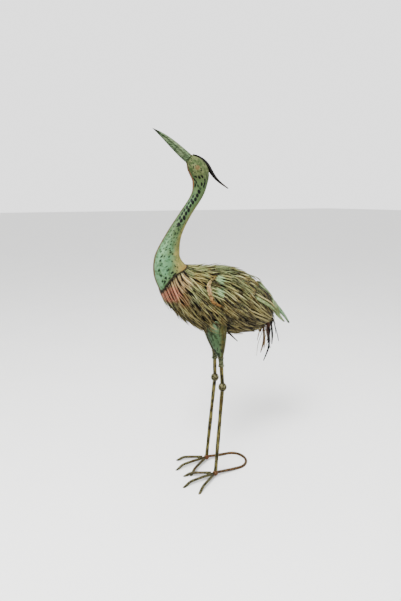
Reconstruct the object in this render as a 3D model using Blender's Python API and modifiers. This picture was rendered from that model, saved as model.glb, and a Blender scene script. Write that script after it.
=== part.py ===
# Standing garden heron of sheet metal: looks up to its front, on rod legs with a wire foot.
# Metres, +Z up, +X is the way the bird faces, +Y is its left side.
import math

import bmesh
import bpy
from mathutils import Vector

# Driving sizes
figureHeight = 1.055       # floor to beak tip; the free forms below are drawn for this height
stanceWidth = 0.0935       # between the two foot hubs
stanceStagger = 0.0207     # left foot ahead of the right foot
hubHeight = 0.014          # middle of a hub above the floor
hubDiameter = 0.018
toeDiameter = 0.008
toeLengthMiddle = 0.091    # hub to the bend above the claw
toeLengthSide = 0.078
toeSpread = 0.53           # side toe against middle toe, radians
clawReach = 0.020          # from the bend to the flat end on the floor
loopDiameter = 0.008
loopReach = 0.132          # hub line to the back of the loop
rodDiameter = 0.0118
rodTwist = 0.055           # length of a whole turn of the twisted rods
kneeHeight = 0.2857 * figureHeight
kneeWidth = 0.0808         # between the two knee balls
kneeSetback = 0.0272       # knees behind the hub line
kneeDiameter = 0.0262
collarHeight = 0.3488 * figureHeight    # lower face of the turned collar
collarLength = 0.030
collarDiameter = 0.0195
collarNeckDiameter = 0.0150
collarBead = 0.005
collarSetback = 0.024      # foot of the collar behind the hub line
collarWidth = 0.0745       # between the two collars
thighFootDiameter = 0.0172
thighTopDiameter = 0.066
thighReach = 0.1196 * figureHeight      # collar to the hidden top of the thigh, inside the body
thighLean = 0.145          # thigh forward of upright, radians
thighInward = 0.05         # share by which a thigh leans in over the middle
sheet = 0.0010             # thickness of the cut feather sheet
fitGap = 0.0003            # between pieces that touch
rowPitch = 0.033           # one feather row to the next
rowBand = 0.015            # uncut width of a feather row
rowTooth = 0.043           # length of its cut strips
rowClearance = 0.0013      # room between two lapped rows
rowTeeth = 24
rowSpring = 2.5            # how far a strip springs off the curve, against the depth of its chord
collarSweep = 0.018        # the neck seam runs this much further forward at the sides
collarFade = 0.13          # and the sweep dies out over this length
wingRimDiameter = 0.0085
wingTooth = 0.062          # length of a wing row's cut strips
wingFront = 0.075 * figureHeight        # neck seam to the foremost point of the wing's front edge
wingCrown = 1.19           # angle of that point round the body
wingSweep = 0.0283         # the front edge runs back this much half a radian above and below it
wingHeel = 0.036           # straight run of the front edge along the wing's foot
bladeThickness = 0.0030
stripThickness = 0.0029
beakFullness = 2.05        # how long the beak keeps its depth before it runs to its point
thighGap = 0.0065          # the feather rows stop this far from a thigh
stripGap = 0.012           # and this far from the middle of the belly strip
plumeThickness = 0.0030
draw = figureHeight / 1055.0    # a millimetre of the drawing, in metres

# Side view of head, neck and body, in drawing millimetres, from the beak's root to the rump:
# front or under edge x, z, back or upper edge x, z, and half the width across
profile = [
    (86, 973, 67, 992, 11), (82, 967, 41, 983, 17), (79, 953, 22, 966, 22),
    (71, 937, 14, 944, 22), (64, 922, 16, 923, 19), (67, 889, 31, 883, 15),
    (104, 837, 75, 822, 15), (144, 784, 103, 770, 19), (181, 724, 110, 721, 28),
    (188, 691, 105, 705, 34), (185, 656, 95, 693, 39), (168, 616, 88, 687, 44),
    (150, 590, 56, 679, 51), (119, 556, 9, 674, 61), (78, 519, -47, 669, 70),
    (21, 487, -98, 654, 73), (-59, 466, -144, 627, 68), (-126, 461, -180, 595, 57),
    (-173, 467, -211, 559, 41), (-212, 491, -234, 526, 20), (-232, 510, -233, 512, 1),
]
seamRow = 11               # the row of the profile where the neck is let into the body
neckRings = 22
bodyRings = 15

bird = bpy.data.collections.new("heron")
cutters = bpy.data.collections.new("cutters")


def clearScene():
    for thing in list(bpy.data.objects):
        bpy.data.objects.remove(thing, do_unlink=True)
    for group in (bird, cutters):
        bpy.context.scene.collection.children.link(group)


def paint(name, colour, roughness, metallic):
    material = bpy.data.materials.new(name)
    material.use_nodes = True
    shader = material.node_tree.nodes["Principled BSDF"]
    shader.inputs["Base Color"].default_value = (*colour, 1.0)
    shader.inputs["Roughness"].default_value = roughness
    shader.inputs["Metallic"].default_value = metallic
    material.diffuse_color = (*colour, 1.0)
    return material


def addObject(name, mesh, colour, roughness=0.55, metallic=0.4, group=None):
    thing = bpy.data.objects.new(name, mesh)
    (group or bird).objects.link(thing)
    mesh.materials.clear()
    mesh.materials.append(paint(name, colour, roughness, metallic))
    if group is cutters:
        thing.hide_render = True
        thing.display_type = "WIRE"
    return thing


def meshOf(name, points, faces):
    mesh = bpy.data.meshes.new(name)
    mesh.from_pydata([tuple(p) for p in points], [], faces)
    mesh.validate()
    mesh.update()
    return mesh


def loftMesh(name, rings):
    """Skin over rings of equal count; a ring of one point closes the form, others get a flat cap."""
    points, first = [], []
    for ring in rings:
        first.append(len(points))
        points.extend(ring)
    sides = max(len(ring) for ring in rings)
    faces = []
    for k in range(len(rings) - 1):
        a, b = first[k], first[k + 1]
        for j in range(sides):
            n = (j + 1) % sides
            if len(rings[k]) == 1:
                faces.append((a, b + n, b + j))
            elif len(rings[k + 1]) == 1:
                faces.append((a + j, a + n, b))
            else:
                faces.append((a + j, a + n, b + n, b + j))
    for ring, start, turn in ((rings[0], first[0], -1), (rings[-1], first[-1], 1)):
        if len(ring) > 1:
            middle = len(points)
            points.append(sum((Vector(p) for p in ring), Vector()) / sides)
            for j in range(sides):
                n = (j + 1) % sides
                faces.append((start + j, start + n, middle)[::turn])
    return meshOf(name, points, faces)


def outward(mesh):
    """Turn every face of a closed mesh outwards."""
    shape = bmesh.new()
    shape.from_mesh(mesh)
    bmesh.ops.recalc_face_normals(shape, faces=shape.faces)
    shape.to_mesh(mesh)
    shape.free()
    return mesh


def through(rows, t, places):
    """Smooth curve through rows of numbers that stand at the given places."""
    k = 0
    while k < len(rows) - 2 and t > places[k + 1]:
        k += 1
    span = places[k + 1] - places[k]
    u = (t - places[k]) / span

    def slope(j, i):
        low, high = max(j - 1, 0), min(j + 1, len(rows) - 1)
        return (rows[high][i] - rows[low][i]) / (places[high] - places[low])

    value = []
    for i in range(len(rows[0])):
        p, q = rows[k][i], rows[k + 1][i]
        m, n = slope(k, i) * span, slope(k + 1, i) * span
        value.append(p + u * (m + u * (3 * (q - p) - 2 * m - n + u * (m + n - 2 * (q - p)))))
    return value


def rowPlaces(rows):
    """Distance along the middle line at which each row of the profile stands."""
    places = [0.0]
    for p, q in zip(rows, rows[1:]):
        across = (q[0] + q[2] - p[0] - p[2]) / 2
        upright = (q[1] + q[3] - p[1] - p[3]) / 2
        places.append(places[-1] + math.hypot(across, upright))
    return places


trunkRows = [[value * draw for value in row] for row in profile]
trunkPlaces = rowPlaces(trunkRows)
seamPlace = trunkPlaces[seamRow]
trunkLength = trunkPlaces[-1]
bodyLength = trunkLength - seamPlace
bodyStep = bodyLength * 0.985 / bodyRings
evenSeat = rowClearance - 0.0006    # a row in line with the body's own facets sits closer
oddSeat = rowClearance - 0.0002


def trunkSkin(t, angle):
    """Point of the head, neck and body skin; angle 0 is the back, a quarter turn the left side."""
    fade = max(0.0, 1.0 - abs(t - seamPlace) / collarFade)
    t = min(max(t - collarSweep * fade * math.sin(angle) ** 2, 0.0), trunkLength)
    fx, fz, bx, bz, half = through(trunkRows, t, trunkPlaces)
    c, s = math.cos(angle), math.sin(angle)
    return Vector(((fx + bx) / 2 + c * (bx - fx) / 2, s * half, (fz + bz) / 2 + c * (bz - fz) / 2))


def trunkPoint(t, angle, lift=0.0):
    """The same point raised off the skin by lift, square to it."""
    point = trunkSkin(t, angle)
    if not lift:
        return point
    step = 0.002
    along = trunkSkin(min(t + step, trunkLength), angle) - trunkSkin(t - step, angle)
    around = trunkSkin(t, angle + 0.03) - trunkSkin(t, angle - 0.03)
    return point + around.cross(along).normalized() * lift


def bodyPoint(s, angle, lift=0.0):
    """Point over the body, s metres behind the neck seam."""
    return trunkPoint(seamPlace + s, angle, lift)


def trunkRing(t, sides, lift=0.0):
    return [trunkPoint(t, 2 * math.pi * j / sides, lift) for j in range(sides)]


def makeTrunk():
    neck = [trunkRing(seamPlace * k / neckRings, rowTeeth) for k in range(neckRings + 1)]
    addObject("head-and-neck", outward(loftMesh("head-and-neck", neck)), (0.30, 0.46, 0.33))
    body = [trunkRing(seamPlace + fitGap + bodyStep * k, rowTeeth) for k in range(bodyRings)]
    body.append([bodyPoint(bodyLength, 0.0)])
    addObject("body", outward(loftMesh("body", body)), (0.24, 0.24, 0.13))


def frameAlong(direction, up=Vector((0, 0, 1))):
    """Two unit vectors square to a direction: sideways and upwards."""
    side = up.cross(direction).normalized()
    return side, direction.cross(side).normalized()


def pathDirections(path):
    last = len(path) - 1
    return [(path[min(k + 1, last)] - path[max(k - 1, 0)]).normalized() for k in range(last + 1)]


def curvePath(points, count):
    """A smooth path of count points through a few points."""
    places = [0.0]
    for p, q in zip(points, points[1:]):
        places.append(places[-1] + (q - p).length)
    rows = [tuple(p) for p in points]
    return [Vector(through(rows, places[-1] * k / (count - 1), places)) for k in range(count)]


def makeBeak():
    """Long wedge of a beak with the mouth pressed in as a groove on both sides."""
    root = Vector((76.9, 0, 982.0)) * draw
    tip = Vector((184, 0, 1054.5)) * draw
    direction = (tip - root).normalized()
    seat = Vector((86 - 67, 0, 973 - 992)).normalized()
    mouth = ((1.52, 1.0), (1.60, 0.84), (1.68, 1.0))
    arc = [(0.0, 1.0), (0.45, 0.98), (0.95, 0.97)] + list(mouth) + [(2.2, 0.97), (2.7, 0.98)]
    outline = arc + [(math.pi, 1.0)] + [(2 * math.pi - a, r) for a, r in reversed(arc[1:])]
    rings = []
    for share in (0.0, 0.16, 0.34, 0.52, 0.70, 0.86, 0.95):
        high = 14.2 * draw * (1 - share ** beakFullness)
        wide = 10.8 * draw * (1 - share ** beakFullness)
        arch = Vector((-0.5, 0, 0.86)) * (5.5 * draw * math.sin(math.pi * share) * share)
        lean = seat.lerp(Vector((direction.z, 0, -direction.x)), min(1.0, share * 3)).normalized()
        middle = root.lerp(tip, share) + arch + direction * (fitGap * 1.5)
        rings.append([middle - lean * (high * r * math.cos(a)) + Vector((0, wide * r * math.sin(a), 0))
                      for a, r in outline])
    rings.append([tip])
    addObject("beak", outward(loftMesh("beak", rings)), (0.22, 0.30, 0.22))


def spring(start, length, angle):
    """Extra rise at the tip of a straight strip that leaves the curved body."""
    a, b = bodyPoint(start, angle), bodyPoint(start + length, angle)
    arch = bodyPoint(start + length / 2, angle) - (a + b) / 2
    off = bodyPoint(start + length / 2, angle, 0.001) - bodyPoint(start + length / 2, angle)
    return rowSpring * max(0.0, arch.dot(off.normalized()))


def fringe(name, root, band, tooth, angles, lift, slope, colour, shift=None):
    """A band of sheet whose rear edge is cut into pointed strips, laid over the body."""
    shift = shift or (lambda angle: 0.0)
    closed = abs(angles[-1] - angles[0]) > 2 * math.pi - 1e-6
    edges = angles[:-1] if closed else angles
    count = len(edges)
    points = []
    for s in (root, root + band):
        points += [bodyPoint(s + shift(a), a, lift + slope * (s - root)) for a in edges]
    faces = []
    for j in range(len(angles) - 1):
        n = (j + 1) % count
        middle = (angles[j] + angles[j + 1]) / 2
        start = root + band + shift(middle)
        points.append(bodyPoint(start + tooth, middle, lift + slope * (band + tooth) + spring(start, tooth, middle)))
        faces.append((j, n, count + n, count + j))
        faces.append((count + j, count + n, len(points) - 1))
    mesh = meshOf(name, points, faces)
    thing = addObject(name, mesh, colour)
    wall = thing.modifiers.new("sheet", "SOLIDIFY")
    wall.thickness = sheet
    wall.offset = 1.0
    middle = (angles[0] + angles[1]) / 2
    off = bodyPoint(root + shift(middle), middle, 0.01) - bodyPoint(root + shift(middle), middle)
    if mesh.polygons[0].normal.dot(off) < 0:
        mesh.flip_normals()
    return thing


def legSides():
    """Name, side and forward offset of each leg."""
    return (("left", 1, stanceStagger / 2), ("right", -1, -stanceStagger / 2))


def legPoints(side, ahead):
    """Hub, knee, collar foot, collar head and thigh top of a leg."""
    hub = Vector((ahead, side * stanceWidth / 2, hubHeight))
    knee = Vector((ahead - kneeSetback, side * kneeWidth / 2, kneeHeight))
    foot = Vector((ahead - collarSetback, side * collarWidth / 2, collarHeight))
    head = foot + (foot - knee).normalized() * collarLength
    top = head + Vector((math.sin(thighLean), -side * thighInward, math.cos(thighLean))).normalized() * thighReach
    return hub, knee, foot, head, top


def thighRadius(share):
    rise = math.sin(min(1.0, share * 1.15) * math.pi / 2)
    return (thighFootDiameter + (thighTopDiameter - thighFootDiameter) * rise) / 2


def stripRoute():
    """Way of the thin dark strip that sticks out behind the thighs."""
    seat = bodyPoint(246 * draw, math.pi - 0.22, fitGap + 0.5 * stripThickness)
    return [seat, seat + Vector((-12, 0, -12.2)) * draw, seat + Vector((-34, 1, -33.7)) * draw]


def rowClear(point):
    """True where a feather row keeps clear of both thighs and of the belly strip."""
    if (point - stripRoute()[0]).length < stripGap:
        return False
    for name, side, ahead in legSides():
        head, top = legPoints(side, ahead)[3:]
        line = top - head
        share = (point - head).dot(line) / line.length_squared
        if -0.05 < share < 1.0:
            away = (point - head - line * share).length
            if away < thighRadius(min(max(share, 0.0), 1.0)) + thighGap:
                return False
    return True


def makeRows():
    """Lapped feather rows from the neck seam to the rump."""
    slope = (sheet + rowClearance) / rowPitch
    count = int((bodyLength - rowBand - 1.7 * rowTooth) / rowPitch) + 1
    step = 2 * math.pi / rowTeeth
    for k in range(count):
        root = 0.0015 + k * rowPitch
        tooth = min(rowTooth, bodyLength - root - rowBand - 0.004)
        turn = -math.pi + (0.5 if k % 2 else 0.0) * step
        angles = [turn + j * step for j in range(rowTeeth + 1)]
        keep = []
        for j in range(rowTeeth):
            middle = (angles[j] + angles[j + 1]) / 2
            probes = [(s, a) for a in (angles[j], middle, angles[j + 1])
                      for s in (root, root + rowBand, root + rowBand + tooth)]
            keep.append(all(rowClear(bodyPoint(s, a, 2 * rowClearance)) for s, a in probes))
        if not all(keep):
            top = rowTeeth // 2
            first = top
            while keep[first - 1] and first > 0:
                first -= 1
            last = top
            while last < rowTeeth - 1 and keep[last + 1]:
                last += 1
            angles = angles[first:last + 2]
        shade = 0.8 + 0.1 * (k % 3)
        fringe(f"feather-row-{k + 1:02d}", root, rowBand, tooth, angles, oddSeat if k % 2 else evenSeat, slope,
               (0.30 * shade, 0.31 * shade, 0.16 * shade))


def wingBow(angle):
    """How far the wing's front edge runs back above and below its foremost point."""
    return wingSweep * ((abs(angle) - wingCrown) / 0.5) ** 2


def wingClear(angle):
    """The same with room for the thickness of the edge where it runs aslant."""
    slant = wingSweep * 8 * (abs(angle) - wingCrown) / 0.065
    return wingBow(angle) + (wingRimDiameter * 0.55 + 3 * fitGap) * (math.sqrt(1 + slant * slant) - 1)


def makeWing(name, side):
    """A rolled front edge and four lapped rows of long strips."""
    rise = (sheet + rowClearance) / rowPitch * (rowTooth + rowBand)
    bed = evenSeat + rise + spring(0.15, rowTooth, math.pi / 2) + sheet - 0.5 * fitGap
    radius = wingRimDiameter / 2
    foot = 1.74
    edge = [(wingFront + wingBow(a), a) for a in (0.90 + (foot - 0.90) * k / 7 for k in range(8))]
    edge += [(edge[-1][0] + wingHeel * share, foot + 0.03) for share in (0.5, 1.0)]
    route = [bodyPoint(s, side * a, bed + radius - 0.0006) for s, a in edge]
    rod(f"wing-{name}-edge", curvePath(route, 13), wingRimDiameter, (0.42, 0.20, 0.13), 1,
        lambda share: 0.45 + 0.75 * math.sin(math.pi * (0.08 + 0.88 * share ** 1.3)))
    slope = (sheet + rowClearance) / (wingTooth * 0.66)
    for k in range(4):
        root = wingFront + radius * 1.1 + fitGap * 3 + k * wingTooth * 0.66
        low, high = 0.84 - 0.02 * k, (1.67 if k == 0 else 1.80)
        teeth = 9
        spread = [side * (low + (high - low) * j / teeth) for j in range(teeth + 1)]
        if side < 0:
            spread.reverse()
        fringe(f"wing-{name}-row-{k + 1}", root, wingTooth * 0.34, wingTooth, spread, bed, slope,
               (0.33, 0.33, 0.17), wingClear)


def rod(name, path, diameter, colour, roundness=2, taper=None, tilt=None):
    """Rod along a path: a curve with a bevel and filled caps.

    taper and tilt give the share of the thickness and the turn at each share of the way."""
    wire = bpy.data.curves.new(name, "CURVE")
    wire.dimensions = "3D"
    wire.bevel_depth = diameter / 2
    wire.bevel_resolution = roundness
    wire.use_fill_caps = True
    wire.render_resolution_u = 0
    line = wire.splines.new("POLY")
    line.points.add(len(path) - 1)
    for k, place in enumerate(path):
        share = k / (len(path) - 1)
        line.points[k].co = (*place, 1.0)
        line.points[k].radius = taper(share) if taper else 1.0
        line.points[k].tilt = tilt(share) if tilt else 0.0
    return addObject(name, wire, colour)


def asMesh(thing):
    """Swap a rod's curve for its mesh, so that it can be cut."""
    bpy.context.view_layer.update()
    graph = bpy.context.evaluated_depsgraph_get()
    mesh = bpy.data.meshes.new_from_object(thing.evaluated_get(graph))
    shape = bmesh.new()
    shape.from_mesh(mesh)
    bmesh.ops.remove_doubles(shape, verts=shape.verts, dist=0.00001)
    shape.to_mesh(mesh)
    shape.free()
    name, place = thing.name, thing.matrix_world.copy()
    bpy.data.objects.remove(thing, do_unlink=True)
    made = bpy.data.objects.new(name, mesh)
    made.matrix_world = place
    bird.objects.link(made)
    return made


def bladeWidth(share):
    return max(0.12, (1 - share ** 2.6) * (0.72 + 0.28 * math.sin(math.pi * min(1, share * 1.6))))


def plumeWidth(share):
    return max(0.16, math.sin(math.pi * min(1.0, share * 0.93 + 0.03)) ** 0.8) * (1 - 0.42 * share)


def between(values, share):
    """Value at a share of the way along evenly spaced values."""
    place = share * (len(values) - 1)
    k = min(int(place), len(values) - 2)
    return values[k] + (values[k + 1] - values[k]) * (place - k)


def leafMesh(name, path, half, droop, thickness, widthAt, tilt=0.0):
    """Long leaf of sheet, arched across; droop lists its arch along its length, widthAt gives its outline.

    tilt turns its face from straight up towards the left (above 0) or the right side."""
    rings = []
    count = len(path) - 1
    for k, (middle, direction) in enumerate(zip(path, pathDirections(path))):
        share = k / count
        side, up = frameAlong(direction, Vector((0, math.sin(tilt), math.cos(tilt))))
        width = half * widthAt(share)
        upper, lower = [], []
        for j in range(7):
            u = -1 + j / 3
            fall = between(droop, share) * draw * width / half
            base = middle + side * (u * width) - up * (fall * u * u)
            upper.append(base + up * thickness / 2)
            lower.append(base - up * thickness / 2)
        rings.append(upper + lower[::-1])
    return outward(loftMesh(name, rings))


def makePlume():
    """Dark plume: an arched leaf of sheet that stands off the crown and leaves the nape."""
    line = ((63, 993.2), (53, 992.2), (41, 988.8), (26, 981.4), (14, 972), (7, 962), (0, 950.4), (-8, 938.5),
            (-19, 926.8), (-33, 916), (-54, 903))
    path = curvePath([Vector((x, 0, z)) * draw for x, z in line], 11)
    addObject("crest-plume",
              leafMesh("crest-plume", path, 10 * draw, (3, 9, 8, 4, 1), plumeThickness, plumeWidth),
              (0.03, 0.022, 0.018))


def makeBlades():
    """The three long tail blades: one over the rump and one on each side."""
    middle = [bodyPoint(290 * draw, 0.0, 11.7 * draw), bodyPoint(325 * draw, 0.0, 11.7 * draw)]
    middle += [Vector((x, 0, z)) * draw for x, z in ((-243, 540), (-266, 518), (-288, 492), (-308, 461))]
    addObject("tail-blade-middle",
              leafMesh("tail-blade-middle", curvePath(middle, 8), 18 * draw, (4, 5, 15, 21, 20), bladeThickness,
                       bladeWidth),
              (0.22, 0.42, 0.27))
    for name, side in (("left", 1), ("right", -1)):
        line = [bodyPoint(328 * draw, side * 1.0, 14.8 * draw), bodyPoint(350 * draw, side * 1.0, 15.8 * draw)]
        line += [Vector((x, side * y, z)) * draw for x, y, z in ((-227, 46, 508), (-252, 41, 482))]
        addObject(f"tail-blade-{name}",
                  leafMesh(f"tail-blade-{name}", curvePath(line, 7), 16 * draw, (2, 5, 8, 8),
                           bladeThickness, bladeWidth, side * 0.95),
                  (0.30, 0.33, 0.18))


def makeTailStrips():
    """Thin curled strips that hang from under the rump."""
    # the end of each strip, x, y, z, and how far it bows back at a third and two thirds of its way
    strips = ((-187, -17, 357, 12, 0), (-240, -13, 376, -4, -7), (-196, -8, 369, 9, 10),
              (-206, -3, 340, 8, 15), (-202, 3, 386, 2, 3), (-230, 8, 398, 4, 3),
              (-204, 13, 414, -4, 5), (-250, 18, 408, 3, 1))
    ring = bodyStep * (bodyRings - 1)
    for k, (endX, endY, endZ, bow, lowBow) in enumerate(strips):
        place = math.pi - (k - 3.5) * 0.3
        back = 0.72 if k % 2 else 0.3       # share of the way from the last full ring to the rump's point
        start = bodyPoint(ring, place).lerp(bodyPoint(bodyLength, 0.0), back)
        off = (bodyPoint(ring, place, 0.001) - bodyPoint(ring, place)).normalized() + Vector((-0.3, 0, 0))
        start += off.normalized() * (fitGap + stripThickness * 0.38)
        end = Vector((endX, endY, endZ)) * draw
        route = [start, start.lerp(end, 0.35) + Vector((-bow, 0, 0)) * draw,
                 start.lerp(end, 0.7) + Vector((-lowBow, 0, 0)) * draw, end]
        rod(f"tail-strip-{k + 1}", curvePath(route, 8), stripThickness, (0.05, 0.035, 0.025), 0,
            lambda share: 1.2 - 0.85 * share)


def bodyCutter():
    """The body's outer form with the fit gap added, to cut what meets it."""
    rings = [trunkRing(seamPlace - 0.01 + (bodyLength - 0.01) * k / 30, 2 * rowTeeth, fitGap) for k in range(31)]
    rings.append([bodyPoint(bodyLength, 0.0) + Vector((-fitGap, 0, 0))])
    return addObject("cut-body", outward(loftMesh("cut-body", rings)), (1, 0, 0), group=cutters)


def cutBy(thing, cutter, operation="DIFFERENCE"):
    cut = thing.modifiers.new("cut", "BOOLEAN")
    cut.operation = operation
    cut.solver = "EXACT"
    cut.object = cutter


def twistedRod(name, a, b, colour):
    """Six-sided bar twisted about its own length."""
    length = (b - a).length
    steps = max(2, round(length / rodTwist * 4))
    rod(name, [a.lerp(b, k / steps) for k in range(steps + 1)], rodDiameter, colour, 1,
        tilt=lambda share: 2 * math.pi * share * length / rodTwist)


def turned(name, outline, foot, axis, steps, colour):
    """A profile of radius and height, run down from its top, turned about an axis that starts at foot."""
    mesh = bpy.data.meshes.new(name)
    mesh.from_pydata([(x, 0.0, z) for x, z in outline], [(k, k + 1) for k in range(len(outline) - 1)], [])
    thing = addObject(name, mesh, colour)
    turn = thing.modifiers.new("turn", "SCREW")
    turn.angle = 2 * math.pi
    turn.steps = steps
    turn.render_steps = steps
    turn.use_merge_vertices = True
    turn.merge_threshold = 0.00001
    turn.axis = "Z"
    thing.rotation_mode = "QUATERNION"
    thing.rotation_quaternion = axis.to_track_quat("Z", "Y")
    thing.location = foot
    return thing


def collarOutline():
    """A neck with a bead at each end."""
    wide, neck = collarDiameter / 2, collarNeckDiameter / 2
    return [(0.0, collarLength), (neck, collarLength), (wide, collarLength - collarBead * 0.3),
            (wide, collarLength - collarBead * 0.7), (neck, collarLength - collarBead),
            (neck, collarBead), (wide, collarBead * 0.7), (wide, collarBead * 0.3), (neck, 0.0), (0.0, 0.0)]


def thighOutline():
    """A cone that swells quickly from its foot."""
    rows = [(thighRadius(k / 7), thighReach * k / 7) for k in range(7, -1, -1)]
    return [(0.0, thighReach)] + rows + [(0.0, 0.0)]


def ball(name, place, diameter):
    bpy.ops.mesh.primitive_uv_sphere_add(segments=12, ring_count=8, radius=diameter / 2, location=place)
    sphere = bpy.context.object
    sphere.name = name
    for group in list(sphere.users_collection):
        group.objects.unlink(sphere)
    bird.objects.link(sphere)
    sphere.data.materials.append(paint(name, (0.17, 0.12, 0.07), 0.5, 0.5))


def makeLegs():
    cutter = bodyCutter()
    for name, side, ahead in legSides():
        hub, knee, foot, head, top = legPoints(side, ahead)
        shin = (knee - hub).normalized()
        upper = (foot - knee).normalized()
        lean = (top - head).normalized()
        # the thigh's flat foot leans against the collar's flat head and touches it at one side only
        rise = collarNeckDiameter / 2 * math.sin(upper.angle(lean)) + fitGap
        thigh = turned(f"thigh-{name}", thighOutline(), head + lean * rise, lean, 14, (0.25, 0.38, 0.24))
        cutBy(thigh, cutter)
        turned(f"leg-collar-{name}", collarOutline(), foot, upper, 12, (0.14, 0.10, 0.06))
        kneeEdge = kneeDiameter / 2 + fitGap
        twistedRod(f"upper-rod-{name}", knee + upper * kneeEdge, foot - upper * fitGap, (0.16, 0.12, 0.06))
        twistedRod(f"lower-rod-{name}", hub + shin * (hubDiameter / 2 + fitGap), knee - shin * kneeEdge,
                   (0.18, 0.14, 0.07))
        ball(f"knee-ball-{name}", knee, kneeDiameter)
        ball(f"foot-hub-{name}", hub, hubDiameter)


def flatDown(share):
    """Turn that brings a flat of an eight-sided rod down."""
    return math.pi / 8


def makeFeet():
    """Three rod toes to a foot, each with a claw cut flat on the floor."""
    for name, side, ahead in legSides():
        hub = legPoints(side, ahead)[0]
        radius = toeDiameter / 2
        mitre = (radius * 0.924 * (1 + math.cos(toeSpread)) + fitGap) / math.sin(toeSpread)
        clear = hubDiameter / 2 + fitGap
        toes = (("inner", -side * toeSpread, toeLengthSide, max(mitre, clear)),
                ("middle", 0.0, toeLengthMiddle, clear),
                ("outer", side * toeSpread, toeLengthSide, max(mitre, clear)))
        for label, angle, length, start in toes:
            ray = Vector((math.cos(angle), math.sin(angle), 0))
            bend = hub + ray * length
            drop = Vector((0, 0, -hubHeight * 1.6))
            claw = ray * clawReach * 1.6
            path = [hub + ray * start, hub + ray * (length - clawReach * 0.35), bend + (claw + drop) * 0.12,
                    bend + claw + drop]
            toe = asMesh(rod(f"toe-{name}-{label}", path, toeDiameter, (0.12, 0.10, 0.06), tilt=flatDown))
            cutBy(toe, floorCutter())


def floorCutter():
    cutter = bpy.data.objects.get("cut-floor")
    if cutter:
        return cutter
    bpy.ops.mesh.primitive_cube_add(size=1.0, location=(0, 0, -0.5))
    cutter = bpy.context.object
    cutter.name = "cut-floor"
    for group in list(cutter.users_collection):
        group.objects.unlink(cutter)
    cutters.objects.link(cutter)
    cutter.hide_render = True
    cutter.display_type = "WIRE"
    return cutter


def makeLoop():
    """One bent rod that joins both hubs behind the feet and rests at its back."""
    left, right = [legPoints(side, ahead)[0] for name, side, ahead in legSides()]
    low = loopDiameter / 2 * 0.88
    bend = stanceWidth / 2
    backLine = bend - loopReach
    turns = 10
    starts = [hub - Vector((hubDiameter / 2 + fitGap, 0, 0)) for hub in (left, right)]
    middles = [Vector(((hub.x + backLine) / 2, hub.y, (hubHeight + low) / 2)) for hub in (left, right)]
    arc = [Vector((backLine - bend * math.sin(math.pi * k / turns), bend * math.cos(math.pi * k / turns), low))
              for k in range(turns + 1)]
    path = [starts[0], middles[0]] + arc + [middles[1], starts[1]]
    loop = asMesh(rod("foot-loop", path, loopDiameter, (0.17, 0.10, 0.05), tilt=flatDown))
    cutBy(loop, floorCutter())


def makeSpike():
    rod("belly-strip", curvePath(stripRoute(), 4), 1.4 * stripThickness, (0.03, 0.025, 0.02), 0,
        lambda share: 1.15 - 0.9 * share)


def standOnOrigin():
    """Bring the middle of the whole object's floor box to the origin."""
    bpy.context.view_layer.update()
    graph = bpy.context.evaluated_depsgraph_get()
    low, high = Vector((9, 9, 0)), Vector((-9, -9, 0))
    for thing in bird.objects:
        shape = thing.evaluated_get(graph).to_mesh()
        for vertex in shape.vertices:
            point = thing.matrix_world @ vertex.co
            low = Vector((min(low.x, point.x), min(low.y, point.y), 0))
            high = Vector((max(high.x, point.x), max(high.y, point.y), 0))
    origin = bpy.data.objects.new("heron-origin", None)
    bird.objects.link(origin)
    for thing in list(bird.objects) + list(cutters.objects):
        if thing is not origin:
            thing.parent = origin
    origin.location = -(low + high) / 2


clearScene()
makeTrunk()
makeBeak()
makePlume()
makeRows()
makeWing("left", 1)
makeWing("right", -1)
makeBlades()
makeTailStrips()
makeLegs()
makeFeet()
makeLoop()
makeSpike()
standOnOrigin()
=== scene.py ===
# Looks of the sheet-metal garden heron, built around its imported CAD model.
import math
import random
from functools import partialmethod

import bmesh
import bpy
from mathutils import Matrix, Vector


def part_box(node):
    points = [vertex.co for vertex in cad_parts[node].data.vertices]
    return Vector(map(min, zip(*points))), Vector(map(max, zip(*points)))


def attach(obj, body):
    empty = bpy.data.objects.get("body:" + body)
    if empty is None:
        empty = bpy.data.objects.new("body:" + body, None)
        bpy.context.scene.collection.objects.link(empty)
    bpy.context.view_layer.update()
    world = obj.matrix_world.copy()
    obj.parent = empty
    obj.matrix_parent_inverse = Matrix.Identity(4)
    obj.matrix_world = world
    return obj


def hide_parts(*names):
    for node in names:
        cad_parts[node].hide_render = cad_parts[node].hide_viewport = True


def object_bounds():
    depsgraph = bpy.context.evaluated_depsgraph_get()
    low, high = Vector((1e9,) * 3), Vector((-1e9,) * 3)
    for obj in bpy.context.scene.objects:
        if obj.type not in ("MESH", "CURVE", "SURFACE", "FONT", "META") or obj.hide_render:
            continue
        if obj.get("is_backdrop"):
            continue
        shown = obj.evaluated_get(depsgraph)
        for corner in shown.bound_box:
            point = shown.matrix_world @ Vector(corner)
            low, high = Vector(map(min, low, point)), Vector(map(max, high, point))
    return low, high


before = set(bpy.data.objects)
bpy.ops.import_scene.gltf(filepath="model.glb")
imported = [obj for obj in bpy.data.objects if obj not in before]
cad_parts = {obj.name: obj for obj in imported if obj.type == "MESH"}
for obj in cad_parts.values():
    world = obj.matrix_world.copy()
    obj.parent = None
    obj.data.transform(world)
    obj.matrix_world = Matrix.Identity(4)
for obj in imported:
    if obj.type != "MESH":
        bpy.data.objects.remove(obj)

cadLow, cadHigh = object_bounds()
bpy.ops.object.select_all(action="DESELECT")

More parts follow.
